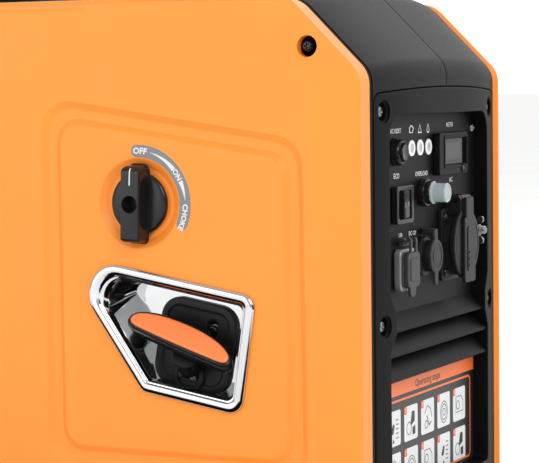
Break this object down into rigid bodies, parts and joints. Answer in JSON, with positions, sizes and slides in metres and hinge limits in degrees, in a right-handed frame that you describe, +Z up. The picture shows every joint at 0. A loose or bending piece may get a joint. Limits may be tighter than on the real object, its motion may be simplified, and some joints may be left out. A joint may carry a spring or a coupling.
{
  "type": "portable generator",
  "caption": "Suitcase inverter generator with orange side shells, dark centre cover, carrying handle, choke knob, pull starter and control panel with outlets.",
  "frame": {"origin": "on the floor under the middle of the case", "axes": "+X towards the control panel end, -Y towards the recoil starter side, +Z up"},
  "size_m": [0.52, 0.3105, 0.44],
  "materials": {
    "orange_shell": "fine satin moulded",
    "dark_cover": "fine grained",
    "black_plastic": "satin",
    "panel_black": "printed sheet",
    "rubber": "matt",
    "chrome_plastic": "polished",
    "screw_steel": "blackened",
    "steel": "machined",
    "aluminium": "as cast",
    "sheet_metal": "black paint",
    "decal_grey": "printed",
    "label_print": "printed",
    "led_white": "milky",
    "boot_clear": "soft translucent",
    "window": "smoked",
    "rope": "braided",
    "copper": "enamelled windings",
    "ceramic": "glazed",
    "muffler_steel": "heat stained",
    "dip_orange": "moulded"
  },
  "bodies": {
    "case": {"base_tray": "dark_cover", "rubber_feet": "rubber", "starter_side_shell": "orange_shell", "service_side_shell": "orange_shell", "center_cover_left": "dark_cover", "center_cover_right": "dark_cover", "front_bezel": "black_plastic", "rear_cover": "black_plastic", "case_screws": "screw_steel", "control_panel": "panel_black", "instruction_label": "label_print", "breaker_rings": "black_plastic", "indicator_leds": "led_white", "meter_housing": "black_plastic", "meter_window": "window", "eco_switch_frame": "black_plastic", "breaker_boot": "boot_clear", "ac_socket": "black_plastic", "dc_socket": "black_plastic", "usb_socket": "steel", "earth_stud": "steel", "dial_decal": "decal_grey", "starter_bezel": "chrome_plastic", "guide_plate": "black_plastic", "recoil_housing": "sheet_metal", "recoil_spring": "steel", "fan_shroud": "sheet_metal", "stator": "copper", "crankcase": "aluminium", "engine_cylinder": "aluminium", "muffler": "muffler_steel", "carburettor": "aluminium", "air_filter_box": "black_plastic", "fuel_tank": "black_plastic", "inverter_module": "aluminium", "ignition_coil": "black_plastic", "spark_plug": "ceramic", "fuel_hose": "rubber"},
    "reset_button": {"reset_button": "black_plastic"},
    "meter_button": {"meter_button": "black_plastic"},
    "breaker_button": {"breaker_button": "led_white"},
    "eco_rocker": {"eco_rocker": "black_plastic"},
    "ac_lid": {"ac_lid": "black_plastic"},
    "dc_cap": {"dc_cap": "rubber"},
    "usb_cap": {"usb_cap": "rubber"},
    "wing_nut": {"wing_nut": "steel"},
    "choke_control": {"choke_knob": "black_plastic", "choke_shaft": "steel"},
    "starter_grip": {"starter_handle": "black_plastic", "handle_insert": "orange_shell", "starter_rope": "rope"},
    "recoil_pulley": {"recoil_pulley": "led_white"},
    "engine_rotor": {"flywheel_fan": "aluminium", "crankshaft": "steel"},
    "fuel_cap": {"fuel_cap": "black_plastic"},
    "vent_lever": {"vent_lever": "black_plastic"},
    "oil_dipstick": {"oil_dipstick": "dip_orange"},
    "service_cover": {"service_cover": "orange_shell"},
    "cover_knob": {"cover_knob": "black_plastic"}
  },
  "joints": [
    {"name": "choke_turn", "type": "hinge", "parent": "case", "child": "choke_control", "pos_m": [0.0955, -0.143, 0.2408], "axis": [0, 1, 0], "range_deg": [0, 100]},
    {"name": "starter_pull", "type": "slide", "parent": "case", "child": "starter_grip", "axis": [0.2304, -0.766, 0.6001], "range_m": [0, 0.45], "stiffness_N_per_m": 18, "springref_m": -0.3, "deforming": ["starter_rope"]},
    {"name": "recoil_turn", "type": "hinge", "parent": "case", "child": "recoil_pulley", "pos_m": [0.03, -0.099, 0.125], "axis": [0, -1, 0], "range_deg": [0, 680], "deforming": ["recoil_spring"]},
    {"name": "engine_turn", "type": "hinge", "parent": "case", "child": "engine_rotor", "pos_m": [0.03, 0, 0.125], "axis": [0, 1, 0], "continuous": true},
    {"name": "reset_press", "type": "slide", "parent": "case", "child": "reset_button", "axis": [-1, 0, 0], "range_m": [0, 0.003], "stiffness_N_per_m": 800, "springref_m": -0.002},
    {"name": "meter_press", "type": "slide", "parent": "case", "child": "meter_button", "axis": [-1, 0, 0], "range_m": [0, 0.0006], "stiffness_N_per_m": 1500, "springref_m": -0.001},
    {"name": "breaker_trip", "type": "slide", "parent": "case", "child": "breaker_button", "axis": [1, 0, 0], "range_m": [0, 0.003]},
    {"name": "eco_tilt", "type": "hinge", "parent": "case", "child": "eco_rocker", "pos_m": [0.241, -0.051, 0.237], "axis": [0, 0, 1], "range_deg": [-22, 0]},
    {"name": "ac_lid_open", "type": "hinge", "parent": "case", "child": "ac_lid", "pos_m": [0.2495, 0.0417, 0.2354], "axis": [0, -1, 0], "range_deg": [0, 110], "stiffness_Nm_per_rad": 0.02, "springref_deg": -28.65},
    {"name": "dc_cap_open", "type": "hinge", "parent": "case", "child": "dc_cap", "pos_m": [0.243, -0.0115, 0.2175], "axis": [0, -1, 0], "range_deg": [0, 90]},
    {"name": "usb_cap_open", "type": "hinge", "parent": "case", "child": "usb_cap", "pos_m": [0.2435, -0.05, 0.211], "axis": [0, -1, 0], "range_deg": [0, 100]},
    {"name": "wing_nut_turn", "type": "hinge", "parent": "case", "child": "wing_nut", "pos_m": [0.246, 0.081, 0.2115], "axis": [1, 0, 0], "continuous": true},
    {"name": "fuel_cap_turn", "type": "hinge", "parent": "case", "child": "fuel_cap", "pos_m": [-0.165, 0, 0.39], "axis": [0, 0, 1], "range_deg": [0, 90]},
    {"name": "vent_turn", "type": "hinge", "parent": "fuel_cap", "child": "vent_lever", "pos_m": [-0.165, 0, 0.4], "axis": [0, 0, 1], "range_deg": [-90, 0]},
    {"name": "dipstick_turn", "type": "hinge", "parent": "case", "child": "oil_dipstick", "pos_m": [0.068, 0.06, 0.085], "axis": [0, 1, 0], "continuous": true},
    {"name": "service_cover_lift", "type": "slide", "parent": "case", "child": "service_cover", "axis": [0, 1, 0], "range_m": [0, 0.15]},
    {"name": "cover_knob_turn", "type": "hinge", "parent": "service_cover", "child": "cover_knob", "pos_m": [0.02, 0.15, 0.167], "axis": [0, 1, 0], "range_deg": [0, 90]}
  ],
  "couplings": [
    {"joint": "recoil_turn", "follows": "starter_pull", "rad_per_m": 26.316}
  ]
}
